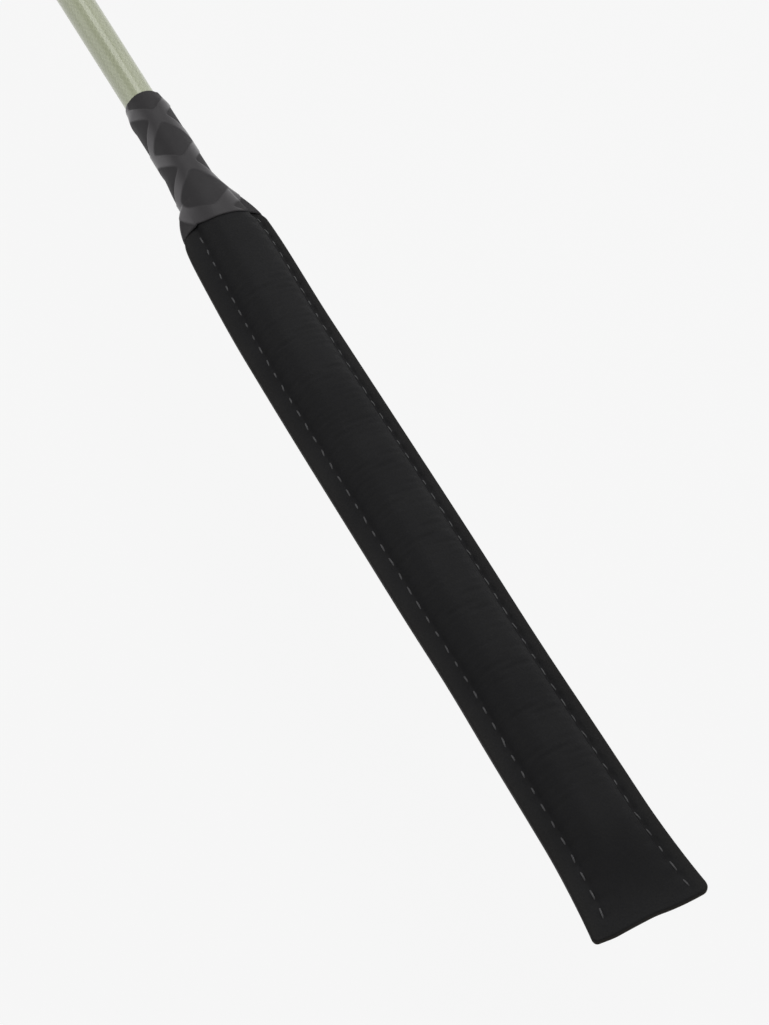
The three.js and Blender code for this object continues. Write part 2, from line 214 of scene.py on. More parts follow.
class Look:
    """A material under construction: a Principled shader and the nodes that feed it."""

    def __init__(self, name, color, roughness, **settings):
        self.material = bpy.data.materials.new(name)
        self.material.use_nodes = True
        self.tree = self.material.node_tree
        self.shader = self.tree.nodes["Principled BSDF"]
        self.set(**{"Base Color": (*color, 1), "Roughness": roughness, **settings})

    def set(self, **values):
        for key, value in values.items():
            self.shader.inputs[key].default_value = value

    def node(self, kind, inputs=None, **settings):
        node = self.tree.nodes.new(kind)
        for key, value in settings.items():
            setattr(node, key, value)
        for key, value in (inputs or {}).items():
            if isinstance(value, bpy.types.NodeSocket):
                self.tree.links.new(value, node.inputs[key])
            else:
                node.inputs[key].default_value = value
        return node

    def place(self):
        return self.node("ShaderNodeTexCoord").outputs["Object"]

    def scaled(self, scale):
        """The place in the object, stretched by scale along each axis."""
        inputs = {0: self.place(), 1: scale}
        return self.node("ShaderNodeVectorMath", inputs, operation="MULTIPLY").outputs[0]

    def math(self, operation, *values):
        return self.node("ShaderNodeMath", dict(enumerate(values)), operation=operation).outputs[0]

    def noise(self, scale, detail, where=None):
        inputs = {"Vector": where or self.place(), "Scale": scale, "Detail": detail}
        return self.node("ShaderNodeTexNoise", inputs).outputs["Fac"]

    def cells(self, scale, where):
        return self.node("ShaderNodeTexVoronoi", {"Vector": where, "Scale": scale}).outputs["Distance"]

    def attribute(self, name):
        return self.node("ShaderNodeAttribute", attribute_name=name).outputs["Fac"]

    def ramp(self, value, low, high, from_low=0.0, from_high=1.0):
        """value stretched from one range to another."""
        inputs = {"Value": value, "From Min": from_low, "From Max": from_high}
        inputs.update({"To Min": low, "To Max": high})
        return self.node("ShaderNodeMapRange", inputs).outputs[0]

    def blend(self, share, a, b):
        """A colour between a and b, each a tuple or another node's output."""
        node = self.node("ShaderNodeMix", data_type="RGBA")
        # 6, 7 and 2 are the Mix node's sockets for colours
        for socket, value in ((node.inputs[0], share), (node.inputs[6], a), (node.inputs[7], b)):
            if isinstance(value, bpy.types.NodeSocket):
                self.tree.links.new(value, socket)
            else:
                socket.default_value = (*value, 1) if isinstance(value, tuple) else value
        return node.outputs[2]

    def color(self, value):
        self.tree.links.new(value, self.shader.inputs["Base Color"])

    def roughness(self, value):
        self.tree.links.new(value, self.shader.inputs["Roughness"])

    def relief(self, *layers):
        """Bump from layers of (height, depth in metres), the first one lowest."""
        normal = None
        for height, depth in layers:
            inputs = {"Height": height, "Distance": depth, "Strength": 1.0}
            if normal:
                inputs["Normal"] = normal
            normal = self.node("ShaderNodeBump", inputs).outputs[0]
        self.tree.links.new(normal, self.shader.inputs["Normal"])


def speckled(name, color, roughness, grain=900, depth=0.02 * MM, spread=0.25):
    """A plain moulded, cast or foamed look: fine relief, and colour and gloss that wander a little."""
    look = Look(name, color, roughness)
    fine = look.noise(grain, 4)
    broad = look.noise(60, 2)
    dark = tuple(c * (1 - spread) for c in color)
    light = tuple(min(1.0, c * (1 + spread)) for c in color)
    look.color(look.blend(broad, dark, light))
    look.roughness(look.ramp(fine, roughness - 0.08, roughness + 0.08, 0.3, 0.7))
    look.relief((fine, depth))
    return look.material


def along_and_around(look):
    """The place along the X axis, and the turns round it from -0.5 to 0.5."""
    split = look.node("ShaderNodeSeparateXYZ", {0: look.place()})
    turn = look.math("ARCTAN2", split.outputs["Z"], split.outputs["Y"])
    return split.outputs["X"], look.math("DIVIDE", turn, 2 * math.pi)


def helix_wave(look, along, turn, starts, pitch):
    """A wave from -1 to 1 whose crests are helical threads; a negative pitch leans the other way."""
    phase = look.math("ADD", look.math("MULTIPLY", turn, float(starts)), look.math("DIVIDE", along, pitch))
    return look.math("SINE", look.math("MULTIPLY", phase, 2 * math.pi))


def braid_look():
    """Sage green thread braided both ways round the shaft, under clear lacquer."""
    look = Look("braid", (0.3, 0.32, 0.215), 0.42)
    look.set(**{"Coat Weight": 0.8, "Coat Roughness": 0.2, "Specular IOR Level": 0.4})
    along, turn = along_and_around(look)
    threads, pitch = 24, 2.6 * MM
    right = helix_wave(look, along, turn, threads, pitch)
    left = helix_wave(look, along, turn, threads, -pitch)
    # each thread rides over and under those that lean the other way
    over = look.math("MAXIMUM", right, left)
    crossing = look.math("MULTIPLY", right, left)
    fibre = look.noise(2600, 2, look.scaled((0.25, 1, 1)))
    patch = look.noise(55, 3, look.scaled((0.35, 1, 1)))
    # painted shade: over and crossing darken the threads where they dip under one another; fibre and patch
    # add the thread's own uneven tone
    tone_and_painted_shade = look.math("ADD", look.ramp(over, -0.18, 0.12, -1, 1), look.ramp(crossing, -0.1, 0.1, -1, 1))
    tone_and_painted_shade = look.math("ADD", tone_and_painted_shade, look.ramp(fibre, -0.09, 0.09, 0.3, 0.7))
    tone_and_painted_shade = look.math("ADD", tone_and_painted_shade, look.ramp(patch, -0.2, 0.2, 0.3, 0.7))
    look.color(look.blend(look.ramp(tone_and_painted_shade, 0, 1, -0.5, 0.5), (0.235, 0.25, 0.165), (0.375, 0.4, 0.275)))
    look.roughness(look.ramp(fibre, 0.34, 0.5, 0.3, 0.7))
    look.relief((over, 0.02 * MM), (fibre, 0.009 * MM))
    return look.material


def sleeve_look():
    """Shrunk rubber: dull between its ribs, with a soft shine on them. The ribs' lighter colour is painted
    sheen, and they are paler still towards the sleeve's sides as a painted rim sheen.
    """
    look = Look("sleeve_rubber", (0.03, 0.028, 0.03), 0.55)
    look.set(**{"Specular IOR Level": 0.3})
    rib = look.attribute("rib")
    painted_rim_sheen = look.attribute("painted_rim_sheen")
    fine = look.noise(1500, 3)
    scuff = look.noise(160, 4, look.scaled((1, 2, 2)))
    plain = look.blend(scuff, (0.0125, 0.0113, 0.0125), (0.0195, 0.018, 0.0195))
    # the ribs are drawn lighter than the rubber between them: painted sheen
    raised = look.blend(scuff, (0.021, 0.0195, 0.021), (0.032, 0.03, 0.032))
    # painted rim sheen: the ribs are paler still towards the sleeve's sides
    pale = look.blend(scuff, (0.065, 0.062, 0.065), (0.105, 0.1, 0.105))
    look.color(look.blend(rib, plain, look.blend(painted_rim_sheen, raised, pale)))
    glance = look.node("ShaderNodeLayerWeight", {"Blend": 0.5}).outputs["Facing"]
    polish = look.math("MULTIPLY", rib, look.ramp(glance, 0.06, 0.42, 0.3, 0.9))
    gloss = look.math("SUBTRACT", 0.66, polish)
    look.roughness(look.math("ADD", gloss, look.ramp(scuff, -0.06, 0.06, 0.3, 0.7)))
    look.relief((fine, 0.025 * MM))
    return look.material


def cover_look():
    """Matt black synthetic leather with a fine pebbled grain, and a browner backing at its cut edges."""
    look = Look("cover_leather", (0.0065, 0.0065, 0.007), 0.72)
    look.set(**{"Specular IOR Level": 0.15, "Sheen Weight": 0.05, "Sheen Roughness": 0.4})
    look.set(**{"Sheen Tint": (0.5, 0.5, 0.52, 1)})
    edge = look.attribute("cut_edge")
    pebble = look.cells(1500, look.scaled((1, 1.25, 1.25)))
    pore = look.noise(3200, 2)
    broad = look.noise(45, 3)
    face = look.blend(broad, (0.0055, 0.0055, 0.006), (0.0075, 0.0075, 0.0081))
    look.color(look.blend(edge, face, (0.024, 0.0215, 0.017)))
    worn = look.ramp(broad, -0.05, 0.05, 0.35, 0.65)
    look.roughness(look.math("ADD", worn, look.ramp(pore, 0.66, 0.78, 0.3, 0.7)))
    look.relief((pebble, 0.05 * MM), (pore, 0.015 * MM))
    return look.material


def stitch_look():
    """Bonded black thread with a twist that catches the light."""
    look = Look("stitch_thread", (0.03, 0.03, 0.031), 0.5)
    look.set(**{"Sheen Weight": 0.3, "Sheen Roughness": 0.4})
    twist = look.noise(5200, 2, look.scaled((1, 0.4, 1)))
    look.color(look.blend(twist, (0.018, 0.018, 0.019), (0.052, 0.052, 0.054)))
    look.relief((twist, 0.05 * MM))
    return look.material


def turned_metal_look(name, color, roughness):
    """Anodised metal with the fine rings that a lathe leaves."""
    look = Look(name, color, roughness, Metallic=1.0)
    rings = look.noise(2600, 3, look.scaled((1, 0.02, 0.02)))
    wear = look.noise(220, 4)
    look.color(look.blend(look.ramp(wear, 0, 1, 0.4, 0.75), color, tuple(c * 1.25 for c in color)))
    turned = look.ramp(rings, roughness - 0.08, roughness + 0.08)
    look.roughness(look.math("ADD", turned, look.ramp(wear, 0, 0.06)))
    look.relief((rings, 0.012 * MM))
    return look.material


def disc_look():
    """Sage green anodised aluminium, brushed in circles round its middle."""
    look = Look("disc_metal", (0.33, 0.35, 0.25), 0.34, Metallic=1.0)
    split = look.node("ShaderNodeSeparateXYZ", {0: look.place()})
    squares = [look.math("POWER", split.outputs[key], 2.0) for key in "YZ"]
    away = look.math("SQRT", look.math("ADD", *squares))
    where = look.node("ShaderNodeCombineXYZ", {"X": away}).outputs[0]
    rings = look.noise(9000, 3, where)
    wear = look.noise(300, 3)
    look.color(look.blend(wear, (0.27, 0.29, 0.205), (0.36, 0.385, 0.275)))
    look.roughness(look.ramp(rings, 0.24, 0.42, 0.3, 0.7))
    look.relief((rings, 0.01 * MM))
    return look.material


def grip_look():
    """Matt moulded rubber, worn smoother where the hand closes on it, with painted shade in its grooves."""
    look = Look("grip_rubber", (0.018, 0.0175, 0.018), 0.66)
    groove = look.attribute("groove")
    fine = look.noise(1900, 3)
    wear = look.noise(38, 3)
    face = look.blend(wear, (0.015, 0.0145, 0.015), (0.025, 0.024, 0.025))
    # painted shade: the grooves are drawn darker than the face around them
    look.color(look.blend(groove, face, (0.009, 0.009, 0.009)))
    worn = look.ramp(wear, 0.56, 0.7, 0.35, 0.65)
    look.roughness(look.math("ADD", worn, look.math("MULTIPLY", groove, 0.12)))
    look.relief((fine, 0.035 * MM))
    return look.material


def fibre_look():
    """Glass fibre rod: long pale strands in resin."""
    look = Look("glass_fibre", (0.58, 0.56, 0.4), 0.4)
    strands = look.noise(2400, 3, look.scaled((0.02, 1, 1)))
    look.color(look.blend(strands, (0.5, 0.47, 0.33), (0.68, 0.66, 0.5)))
    look.relief((strands, 0.02 * MM))
    return look.material


def whipping_look():
    """Waxed black thread, whose turns are in the mesh."""
    look = Look("binding_thread", (0.016, 0.016, 0.016), 0.6)
    twist = look.noise(3800, 2, look.scaled((1, 0.3, 0.3)))
    look.color(look.blend(twist, (0.011, 0.011, 0.011), (0.028, 0.028, 0.028)))
    look.relief((twist, 0.04 * MM))
    return look.material


LOOKS = {
    "braid": braid_look(),
    "sleeve_rubber": sleeve_look(),
    "cover_leather": cover_look(),
    "stitch_thread": stitch_look(),
    "collar_metal": turned_metal_look("collar_metal", (0.035, 0.035, 0.037), 0.3),
    "disc_metal": disc_look(),
    "steel": turned_metal_look("steel", (0.4, 0.4, 0.41), 0.32),
    "grip_rubber": grip_look(),
    "glass_fibre": fibre_look(),
    "binding_thread": whipping_look(),
    "cap_plastic": speckled("cap_plastic", (0.016, 0.016, 0.0165), 0.42, grain=1400, depth=0.015 * MM),
    "former_foam": speckled("former_foam", (0.16, 0.155, 0.14), 0.9, grain=800, depth=0.2 * MM),
    "pad_foam": speckled("pad_foam", (0.03, 0.03, 0.031), 0.95, grain=1100, depth=0.2 * MM),
    "spigot_nylon": speckled("spigot_nylon", (0.68, 0.65, 0.56), 0.45, depth=0.01 * MM, spread=0.06),
    "tip_rubber": speckled("tip_rubber", (0.015, 0.015, 0.015), 0.75),
}


def finish_piece(piece, slot, body, *nodes):
    """Gives a piece the material named by slot, hides the CAD nodes it stands for, and attaches it to its
    body if it has one.
    """
    piece.data.materials.append(LOOKS[slot])
    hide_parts(*nodes)
    if body:
        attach(piece, body)
    return piece


# ---------------------------------------------------------------- shaft and handle

def make_shaft():
    """The braided skin of the shaft, a long cone with a hollow for the core."""
    start, end = start_of("shaft_braid"), end_of("shaft_braid")
    thickness = 0.6 * MM
    x = np.linspace(start, end, 40)
    radius = mix(BUTT_RADIUS, NECK_RADIUS, (x - start) / (end - start))
    profile = [*zip(x, radius), *zip(x[::-1], radius[::-1] - thickness)]
    piece = ring_solid("shaft_skin", revolve(profile, 128))
    finish_piece(piece, "braid", "shaft", "shaft_braid")


def make_grip():
    """The grip, with shallow grooves that cross into diamonds, and plain rolled ends."""
    start, end = start_of("grip"), end_of("grip")
    rear_radius, front_radius = 9.3 * MM, 7.7 * MM
    rear_bore, front_bore = 7.7 * MM, 6.7 * MM
    flare, palm = 1.1 * MM, 0.7 * MM  # of the rear end, and of the swell under the palm
    plain, fade = 9 * MM, 1 * MM  # the length without grooves, and the one over which they start
    starts, lead, groove_width, groove_depth = 8, 96 * MM, 1.3 * MM, 0.5 * MM
    slant = 0.5  # the distance across a groove, as a share of the one along the grip
    first_step = 0.05 * MM
    x = np.concatenate([[start], np.linspace(start + first_step, end - first_step, 520), [end]])
    angle = np.linspace(0, 2 * np.pi, 192, endpoint=False)
    share = (x - start) / (end - start)
    radius = mix(rear_radius, front_radius, share) + flare * (1 - smoothstep(share, 0, 0.12))
    radius = radius + palm * np.sin(np.pi * smoothstep(share, 0.1, 0.75))
    xx, aa = np.meshgrid(x, angle, indexing="ij")
    from_end = np.minimum(xx - start, end - xx)
    groove = np.zeros_like(xx)
    for lean in (1, -1):
        phase = starts * (aa / (2 * np.pi) + lean * xx / lead)
        away = np.abs(phase - np.round(phase)) * lead / starts * slant
        groove = np.maximum(groove, 1 - smoothstep(away, groove_width * 0.3, groove_width * 0.62))
    from_band = np.abs(xx - (end - plain + 1.5 * MM))  # one ring groove ahead of the pattern
    groove = groove * smoothstep(from_end, plain, plain + fade) ** 2
    groove = np.maximum(groove, 1 - smoothstep(from_band, 0.3 * MM, 0.7 * MM))
    outer = radius[:, None] - groove_depth * groove - quarter_round(from_end, 0.9 * MM, 0.8 * MM)
    bore = np.repeat(mix(rear_bore, front_bore, share)[:, None], len(angle), 1)
    few = np.linspace(0, len(x) - 1, 20).astype(int)[::-1]
    points = np.concatenate([around_axis(xx, outer, angle), around_axis(xx[few], bore[few], angle)])
    mark = np.concatenate([groove, np.zeros_like(bore[few])])
    piece = ring_solid("grip_sleeve", points, {"groove": mark}, sharp=60)
    finish_piece(piece, "grip_rubber", "shaft", "grip")


def make_collars():
    """The trim rings at the ends of the grip: a plain one behind it, and a waisted one ahead of it."""
    bore = BUTT_RADIUS + 0.3 * MM
    bevel, fillet, small_fillet = 0.5 * MM, 0.3 * MM, 0.2 * MM
    start, end, outer = start_of("rear_collar"), end_of("rear_collar"), radius_of("rear_collar")
    side = outer - 0.4 * MM  # where each flat side stops
    rear = rounded(
        [(start, bore), (start, side), (start + bevel, outer, fillet),
         (end - bevel, outer, fillet), (end, side), (end, bore)]
    )
    piece = ring_solid("rear_trim_ring", revolve(rear))
    finish_piece(piece, "collar_metal", "shaft", "rear_collar")
    start, end, outer = start_of("front_collar"), end_of("front_collar"), radius_of("front_collar")
    waist, waist_radius = start + 3.2 * MM, outer - 0.5 * MM
    nose = 6.1 * MM  # radius that the ring tapers to
    front = rounded(
        [(start, bore), (start, outer - 0.3 * MM, small_fillet), (start + 0.4 * MM, outer, fillet),
         (waist - 0.6 * MM, outer, fillet), (waist - 0.2 * MM, waist_radius, small_fillet),
         (waist + 0.3 * MM, waist_radius, small_fillet), (end - bevel, nose, fillet),
         (end, nose - 0.3 * MM, small_fillet), (end, bore)]
    )
    piece = ring_solid("front_trim_ring", revolve(front))
    finish_piece(piece, "collar_metal", "shaft", "front_collar")


def make_cap():
    """The mushroom cap: a domed head, a waist with two fine beads, and the socket for the shaft."""
    end = end_of("butt_cap")
    recess_floor, recess = 1.8 * MM, 9.2 * MM  # the disc's recess: its place along X and its radius
    seat_floor, seat, screw_hole = 4.9 * MM, 4.6 * MM, 2.1 * MM  # the same for the washer's and the screw's
    socket_floor, socket = 7.3 * MM, 5.9 * MM  # and for the shaft's
    mouth, bevel = 10.4 * MM, 0.4 * MM
    middle, reach, foot = 7.2 * MM, 7 * MM, 7.5 * MM  # of the dome's arc
    angle = np.linspace(-0.42 * np.pi, 0.36 * np.pi, 28)
    dome_radius = foot + (radius_of("butt_cap") - foot) * np.cos(angle)
    dome = np.stack([middle + reach * np.sin(angle), dome_radius], 1)
    first_bead, bead_length, bead_height, waist = 14.9 * MM, 1.7 * MM, 0.45 * MM, 10.15 * MM
    beads = [
        (first_bead + bead_length * (i - math.cos(a) / 2), waist + bead_height * math.sin(a))
        for i in range(2)
        for a in np.linspace(0.15, math.pi - 0.15, 9)
    ]
    profile = [(recess_floor, recess), (0.55 * MM, recess), (0.4 * MM, recess + 0.15 * MM), *dome, *beads,
               (end - bevel, mouth), (end, mouth - bevel), (end, socket), (socket_floor, socket),
               (socket_floor, screw_hole), (seat_floor, screw_hole), (seat_floor, seat),
               (recess_floor, seat)]
    piece = ring_solid("cap_body", revolve(profile, 128))
    finish_piece(piece, "cap_plastic", "shaft", "butt_cap")
    rim, thickness, flat_middle = radius_of("cap_disc"), 1.5 * MM, 0.4 * MM
    groove, groove_depth = 6.6 * MM, 0.12 * MM  # a fine turned ring
    half_width, half_floor = 0.4 * MM, 0.25 * MM  # of that ring, at its top and on its floor
    disc = [(thickness, flat_middle), (thickness, rim), (0.5 * MM, rim), (0.15 * MM, rim - 0.2 * MM),
            (0, rim - 0.5 * MM), (0, groove + half_width), (groove_depth, groove + half_floor),
            (groove_depth, groove - half_floor), (0, groove - half_width), (0, flat_middle)]
    piece = capped_solid("cap_end_disc", revolve(disc, 96))
    finish_piece(piece, "disc_metal", "shaft", "cap_disc")


def make_spigot():
    """The nylon pin that joins the shaft's core to the flap's, and bends in the gap between them."""
    start, end, radius = start_of("core_spigot"), end_of("core_spigot"), radius_of("core_spigot")
    bevel = 0.3 * MM
    x = np.linspace(start + bevel, end - bevel, 60)
    profile = [(start, radius - bevel), *((place, radius) for place in x), (end, radius - bevel)]
    piece = capped_solid("spigot_pin", revolve(profile, 32), sharp=60)
    finish_piece(piece, "spigot_nylon", None, "core_spigot")
    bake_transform(piece)


# ---------------------------------------------------------------- neck sleeve

TAIL_ROUND_END = TAIL_START + 8 * MM
TAIL_RADIUS = 4.4 * MM
GATHER_END = SLEEVE_END + 1.5 * MM  # where the flap is free of the sleeve


def formed(x):
    """0 on the flap's round tail, rising to 1 where the flap leaves the sleeve."""
    return smoothstep(x, TAIL_ROUND_END, FLAP_START)


def full_height(x):
    """The flap's half thickness on its middle line, were it not thinner at its end."""
    return mix(TAIL_RADIUS, FLAP_CROWN, smoothstep(x, TAIL_ROUND_END, FLAP_START + 4 * MM))


def flap_middle(x):
    """The flap's middle line, which wanders a little to one side of the shaft's axis."""
    at_neck, at_end = 0.2 * MM, -0.66 * MM
    return mix(at_neck, at_end, smoothstep(x, FLAP_START + 2 * MM, FLAP_START + 43 * MM))


def gathered_half_width(x, side):
    """The sleeve's width to one side, from -1 to 1: it swells towards +Y and folds out towards -Y."""
    swell, fold_out, fold_length, rise = 5.45 * MM, 4.7 * MM, 5.6 * MM, 0.9 * MM
    fold_start = SLEEVE_END - 10.3 * MM
    swelling = swell * smoothstep(x, SLEEVE_END - 18.5 * MM, SLEEVE_END + 4 * MM)
    fold = fold_out * (1 - np.exp(-np.maximum(0, x - fold_start) / fold_length))
    fold = fold + rise * smoothstep(x, fold_start - 16 * MM, fold_start - 3 * MM)
    return SLEEVE_RADIUS + mix(fold, swelling, (1 + side) / 2)


def sleeve_end(side):
    """The sleeve's end, which was cut a little askew and hollow."""
    middle, skew, hollow = 0.4 * MM, 0.9 * MM, 0.5 * MM
    return SLEEVE_END + middle + skew * side + hollow * side**2


def sleeve_wall(x, side):
    """The sleeve's thickness, which thins towards its lip."""
    lip = sleeve_end(side)
    return mix(SLEEVE_WALL, 0.3 * MM, smoothstep(x, lip - 9 * MM, lip))


def sleeve_gap(x, side):
    """Between the sleeve and the flap; the lip lies close."""
    lip = sleeve_end(side)
    return mix(0.15 * MM, 0.06 * MM, smoothstep(x, lip - 6 * MM, lip))


def sleeve_layer(x, side):
    """From the flap's surface to the sleeve's outside."""
    return sleeve_wall(x, side) + sleeve_gap(x, side)


def flap_half_width(x, side):
    """The flap's width to one side: pinched by the sleeve, straight with a slight waist, then flared.

    Towards -Y it is a little fuller before the waist and at its end."""
    gathered = gathered_half_width(x, side)
    lip = sleeve_end(side)
    pinch = sleeve_layer(x, side) * (1 - smoothstep(x, lip - 0.5 * MM, lip + 2 * MM))
    tail = 0.55 * MM * (1 - smoothstep(x, TAIL_START, TAIL_START + 14 * MM))
    opening = 1 - np.exp(-np.maximum(0, x - GATHER_END) / (12 * MM))
    opened = (FLAP_HALF_WIDTH - gathered) * opening
    waist = 0.3 * MM * bump(x, FLAP_END - 70 * MM, (20 + 4 * side) * MM)
    fullness = 0.1 * MM * (1 - side) * bump(x, FLAP_START + 70 * MM, 35 * MM)
    flare = FLAP_FLARE * np.maximum(0, (x - FLAP_END) / FLARE_LENGTH + 1) ** 2
    swing = 0.1 * MM * (1 - side) * smoothstep(x, FLAP_END - 40 * MM, FLAP_END - 5 * MM)
    return gathered - pinch - tail + opened - waist + fullness + flare + swing


def sleeve_half_sizes(x, side):
    """Half the sleeve's width and height: a tube on the shaft that opens out over the flap."""
    rear_rise = 0.8 * MM  # of the sleeve's rear rim over the shaft, which it hugs
    slack = SLEEVE_RADIUS - NECK_RADIUS - rear_rise
    slack = slack * (1 - smoothstep(x, SLEEVE_START, SLEEVE_START + 6 * MM))
    over_flap = full_height(x) + sleeve_layer(x, side)
    height = mix(SLEEVE_RADIUS, over_flap, smoothstep(x, SLEEVE_END - 22 * MM, SLEEVE_END - 4 * MM))
    return gathered_half_width(x, side) - slack, height - slack


RIB_REACH = 2.05 * MM  # from a rib's middle to where it has sunk into the sleeve
RIB_HEIGHT = 0.22 * MM
BETWEEN_RIBS = 0.13 * MM  # how far the sleeve lies inside its outline there
RIB_LEAD = 39 * MM
RIB_STARTS = 2
RIB_CROSSING = 11.5 * MM  # of two ribs, on the front, past the sleeve's start
CLASP = 0.85  # how far the lip drops towards the flap's welts, as a share of the way
LIP_DRAW = 0.87  # how far the lip is drawn back where it drops, as a share of the drop


def rib_pattern(x, angle):
    """1 on the raised ribs, which run round both ways, cross on the front and are webbed there."""
    swell = np.zeros_like(x)
    girth = 2 * math.pi * SLEEVE_RADIUS
    slant = RIB_LEAD / math.hypot(RIB_LEAD, girth)
    turn = (angle - np.pi / 2) / (2 * np.pi)
    advance = (x - SLEEVE_START - RIB_CROSSING) / RIB_LEAD
    for lean in (1, -1):
        phase = RIB_STARTS * (turn + lean * advance)
        away = np.abs(phase - np.round(phase)) / RIB_STARTS * girth * slant
        swell = swell + np.exp(-2 * (away / RIB_REACH) ** 2)
    return smoothstep(np.sqrt(swell), 0.42, 0.66)


def make_sleeve():
    """The ribbed shrink sleeve: round on the shaft, and resting on the flap's welts at its lip."""
    around, steps = 224, 240
    angle = np.linspace(0, 2 * np.pi, around, endpoint=False)
    share = np.linspace(0, 1, steps)
    across, up = np.cos(angle), np.sin(angle)

    def sag(x, y, height, inset):
        """How far the sleeve drops from round to rest on the flap's welts, near its lip."""
        resting = cover_height(x, y, np.sign(across)) + sleeve_layer(x, across) - inset
        clasp = CLASP * smoothstep(x, sleeve_end(across) - 13 * MM, sleeve_end(across) - 1 * MM)
        return clasp * np.maximum(0, height - resting)

    lip = sleeve_end(across)
    width, height = sleeve_half_sizes(lip, across)
    end = lip - LIP_DRAW * sag(lip, width * across, height * np.abs(up), 0)
    x = SLEEVE_START + share[:, None] * (end - SLEEVE_START)
    rib = rib_pattern(x, angle)
    width, height = sleeve_half_sizes(x, across)

    def shell(inset):
        y, z = (width - inset) * across, (height - inset) * np.abs(up)
        return np.stack([x, flap_middle(x) + y, np.sign(up) * (z - sag(x, y, z, inset))], -1)

    rim = quarter_round(np.minimum(x - SLEEVE_START, end - x), 0.35 * MM, 0.28 * MM)
    outer = shell(rim + BETWEEN_RIBS - RIB_HEIGHT * rib)
    few = np.linspace(0, steps - 1, 40).astype(int)[::-1]
    inner = shell(sleeve_wall(x, across))[few]
    plain = np.zeros_like(inner[..., 0])
    # painted rim sheen: 0 on the sleeve's front and back, rising to 1 at its sides
    painted_rim_sheen = np.broadcast_to(smoothstep(np.abs(across), 0.3, 0.95), x.shape)
    marks = {"rib": np.concatenate([rib, plain]), "painted_rim_sheen": np.concatenate([painted_rim_sheen, plain])}
    piece = ring_solid("neck_wrap", np.concatenate([outer, inner]), marks, sharp=60)
    finish_piece(piece, "sleeve_rubber", None, "neck_sleeve")
    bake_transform(piece)


# ---------------------------------------------------------------- flap

MIRROR = np.array([1, 1, -1])  # the back of the flap is the front seen in a mirror
SEAM_GAP = 0.15 * MM
COVER_THICKNESS = 0.85 * MM
WELT_TOP = SEAM_GAP + COVER_THICKNESS
WELT_WIDTH = 4.35 * MM
CUT_ROUND, CUT_DROP = 0.45 * MM, 0.4 * MM  # of the cut edges: width and depth
SEAM_OFFSET = 0.45 * MM  # from the foot of the pad to the stitching
SEAM_WIDTH = 0.8 * MM  # of the valley that the stitching pulls down
STITCHES = 48  # in each row
CORE_CHANNEL = 2.95 * MM  # radius of the channel between the two foam pads


def welt_width(x, side):
    """From the foot of the pad to the cut edge; the pad lies to one side, most so at the neck."""
    skew = mix(1.1 * MM, 0.45 * MM, smoothstep(x, FLAP_START + 10 * MM, FLAP_START + 60 * MM))
    spread = 0.3 * MM * (1 + side) * (1 - smoothstep(x, FLAP_START + 90 * MM, FLAP_START + 190 * MM))
    gain = 0.17 * MM * (1 - side) * smoothstep(x, FLAP_END - 70 * MM, FLAP_END)
    width = WELT_WIDTH - side * skew - spread - gain
    return width * smoothstep(x, TAIL_ROUND_END, FLAP_START + 6 * MM)


def crown_half_width(x, side):
    """From the flap's middle line to the foot of the pad on one side."""
    return flap_half_width(x, side) - welt_width(x, side)


def stitch_run(side):
    """Where the first and the last stitch of a row have their middles."""
    return FLAP_START + (2.7 + 0.5 * side) * MM, FLAP_END - (5.0 - 1.2 * side) * MM


def crown_height(x):
    """The flap's half thickness on its middle line, which runs down to the welts' at its end."""
    return mix(full_height(x), WELT_TOP, smoothstep(x, FLAP_END - 30 * MM, FLAP_END - 1 * MM))


def pad_height(x, y, crown, side):
    """Height across the flap, from 1 on the pad's middle to 0 on the welts, which it runs into softly.

    The pad's shoulder is fuller towards +Y, and its tail is round."""
    form = formed(x)
    below = 1 - (np.abs(y) / crown) ** mix(2.0, 2.4, form)
    fullness = mix(0.5, np.where(side > 0, 0.5, 1.0), form)
    height = np.sign(below) * np.abs(below) ** fullness
    softness = 0.1 * form
    return (height + np.sqrt(height**2 + softness**2)) / 2


def cover_height(x, y, side):
    """Height of the cover's outside above the flap's middle plane, before it is sewn and cut."""
    edge = mix(2 * SEAM_GAP, WELT_TOP, formed(x))
    return edge + (crown_height(x) - edge) * pad_height(x, y, crown_half_width(x, side), side)


def cover_inside(x, y, side):
    """Height of the cover's inside, which the foam fills."""
    foot = np.maximum(crown_half_width(x, side) - COVER_THICKNESS * 0.9, 1 * MM)
    share = np.minimum(1, np.abs(y) / foot)
    filling = np.maximum(0, crown_height(x) - WELT_TOP)
    return SEAM_GAP * 0.5 + filling * (1 - share**2.4) ** mix(0.5, 1.0, formed(x))


def end_cut(y):
    """How far the flap's end is cut back: a shallow uneven hollow between rounded corners."""
    half = END_HALF_WIDTH
    corner = np.where(y > 0, 1.9 * MM, 1.1 * MM)
    hollow = 0.45 * MM * (1 - (y / half) ** 2)
    hollow = hollow - 0.42 * MM * np.sin(np.pi * y / half) * smoothstep(y / half, -0.15, 0.3)
    slant = 0.7 * MM * smoothstep(-y / half, 0.6, 1.05)
    past = np.maximum(0, np.abs(y) - (half - corner))
    return hollow + slant + corner - np.sqrt(np.maximum(0, corner**2 - past**2))


def end_thinning(x):
    """How much lower the flap's outside lies as it nears the end."""
    return 0.35 * MM * smoothstep(x, FLAP_END - 16 * MM, FLAP_END)


def stitch_wave(x, side):
    """1 in the middle of a stitch and 0 at the holes between two."""
    first, last = stitch_run(side)
    return np.abs(np.cos(np.pi * (x - first) * (STITCHES - 1) / (last - first)))


def sewn_share(x, side):
    """1 along the stitching, fading out past its ends."""
    first, last = stitch_run(side)
    begun = smoothstep(x, first - 4 * MM, first - 1 * MM)
    return begun * (1 - smoothstep(x, last + 1 * MM, last + 3 * MM))


